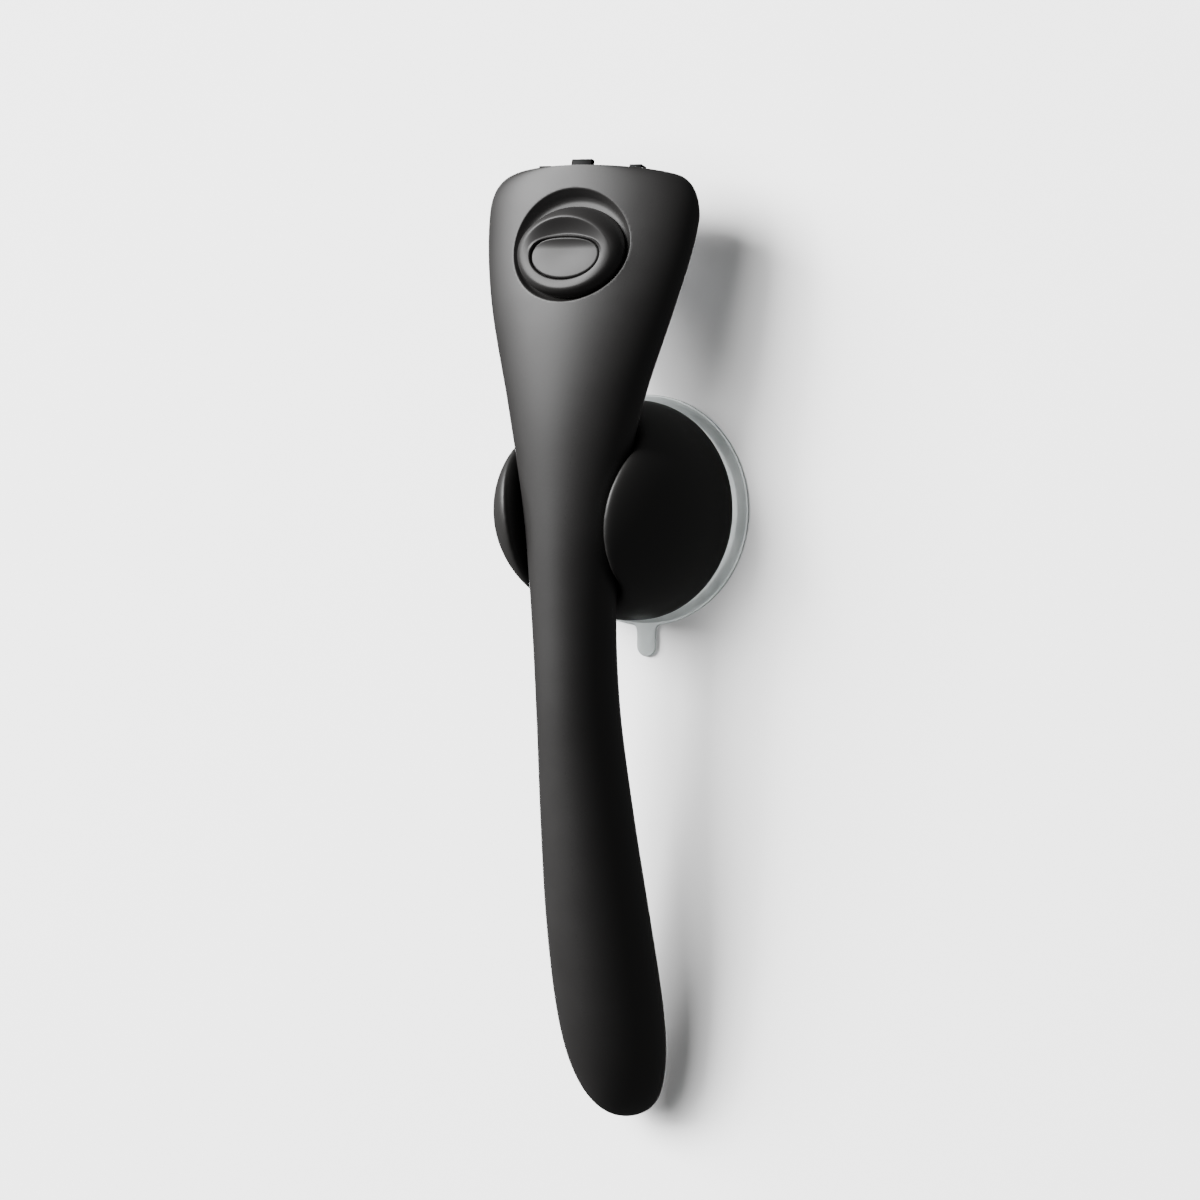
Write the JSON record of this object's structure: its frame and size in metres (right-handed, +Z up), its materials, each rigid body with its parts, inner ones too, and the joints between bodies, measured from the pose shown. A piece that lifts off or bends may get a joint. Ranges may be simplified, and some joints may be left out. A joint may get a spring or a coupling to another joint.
{
  "type": "electric can opener",
  "caption": "Slim battery can opener with a curved handle and flared head, resting in a domed suction-cup wall holder.",
  "frame": {"origin": "centre of the suction cup's lip, on the wall", "axes": "+Y into the wall, +Z up along the handle, +X to the right as the user faces the wall"},
  "size_m": [0.0584, 0.0491, 0.2396],
  "materials": {
    "shell": "soft-touch matte black moulding",
    "black_plastic": "satin black moulding",
    "holder_plastic": "satin black moulding",
    "nylon": "natural moulded nylon",
    "steel": "bright plated steel",
    "spring_steel": "drawn wire",
    "magnet": "nickel-plated magnet",
    "brass": "turned brass",
    "battery_jacket": "printed battery jacket without print",
    "clear_vinyl": "translucent soft vinyl"
  },
  "bodies": {
    "wall_holder": {"holder_body": "holder_plastic", "holder_base": "holder_plastic", "holder_magnets": "magnet", "holder_screws": "steel", "suction_cup": "clear_vinyl", "cup_stud": "steel", "stud_nut": "steel"},
    "opener": {"front_shell": "shell", "back_shell": "shell", "mechanism_housing": "black_plastic", "end_cap": "black_plastic", "slider_spring": "spring_steel", "slide_switch": "black_plastic", "gearbox_tray": "black_plastic", "gearbox_lid": "black_plastic", "gearbox_screws": "steel", "motor_can": "steel", "motor_magnets": "magnet", "motor_end_bell": "black_plastic", "drive_bush": "brass", "mechanism_plate": "steel", "plate_screws": "steel", "can_guide": "black_plastic", "arm_pivot": "steel", "magnet_cup": "black_plastic", "lid_magnet": "magnet", "keeper_plate": "steel", "battery_upper": "battery_jacket", "battery_lower": "battery_jacket", "battery_bulkhead": "black_plastic", "upper_contact": "spring_steel", "battery_spring": "spring_steel", "shell_screws": "steel"},
    "motor_rotor": {"motor_shaft": "steel", "motor_armature": "steel", "worm": "brass"},
    "first_stage": {"first_shaft": "steel", "worm_wheel": "nylon", "first_pinion": "nylon"},
    "second_stage": {"second_shaft": "steel", "second_gear": "nylon", "second_pinion": "nylon"},
    "output_drive": {"drive_shaft": "steel", "output_gear": "brass", "drive_wheel": "steel", "drive_wheel_screw": "steel"},
    "cutter_lever": {"cutter_arm": "steel", "cutter_axle": "steel"},
    "cutter": {"cutter_wheel": "steel"},
    "engage_tab": {"engage_slide": "black_plastic"},
    "slider": {"thumb_slider": "shell"},
    "button": {"lock_button": "shell"},
    "door": {"battery_door": "shell"}
  },
  "joints": [
    {"name": "opener_lift_off", "type": "slide", "parent": "wall_holder", "child": "opener", "axis": [0, -1, 0], "range_m": [0, 0.06]},
    {"name": "thumb_slide", "type": "slide", "parent": "opener", "child": "slider", "axis": [0, 0.2504, 0.9681], "range_m": [0, 0.002], "stiffness_N_per_m": 200, "springref_m": -0.002, "deforming": ["slider_spring"]},
    {"name": "lock_press", "type": "slide", "parent": "slider", "child": "button", "axis": [0, 0.9681, -0.2504], "range_m": [0, 0.001], "stiffness_N_per_m": 300, "springref_m": -0.001},
    {"name": "rotor_spin", "type": "hinge", "parent": "opener", "child": "motor_rotor", "pos_m": [-0.003, -0.03195, 0.04957], "axis": [0, 0.2504, 0.9681], "continuous": true},
    {"name": "first_stage_spin", "type": "hinge", "parent": "opener", "child": "first_stage", "pos_m": [0.0072, -0.0331, 0.05194], "axis": [0, 0.9681, -0.2504], "continuous": true},
    {"name": "second_stage_spin", "type": "hinge", "parent": "opener", "child": "second_stage", "pos_m": [0.01025, -0.02986, 0.06447], "axis": [0, 0.9681, -0.2504], "continuous": true},
    {"name": "drive_wheel_spin", "type": "hinge", "parent": "opener", "child": "output_drive", "pos_m": [0, -0.02834, 0.07033], "axis": [0, 0.9681, -0.2504], "continuous": true},
    {"name": "cutter_lever_swing", "type": "hinge", "parent": "opener", "child": "cutter_lever", "pos_m": [0.012, -0.0318, 0.05697], "axis": [0, 0.9681, -0.2504], "range_deg": [0, 11]},
    {"name": "cutter_spin", "type": "hinge", "parent": "cutter_lever", "child": "cutter", "pos_m": [0, -0.03207, 0.05591], "axis": [0, 0.9681, -0.2504], "continuous": true},
    {"name": "engage_slide_shift", "type": "slide", "parent": "opener", "child": "engage_tab", "axis": [1, 0, 0], "range_m": [0, 0.004]},
    {"name": "battery_door_pull", "type": "slide", "parent": "opener", "child": "door", "axis": [0, 0.9781, 0.2079], "range_m": [0, 0.015]}
  ],
  "couplings": [
    {"joint": "rotor_spin", "follows": "first_stage_spin", "ratio": -20},
    {"joint": "second_stage_spin", "follows": "first_stage_spin", "ratio": -0.46154},
    {"joint": "drive_wheel_spin", "follows": "first_stage_spin", "ratio": 0.25175},
    {"joint": "engage_slide_shift", "follows": "cutter_lever_swing", "m_per_rad": 0.0208}
  ]
}
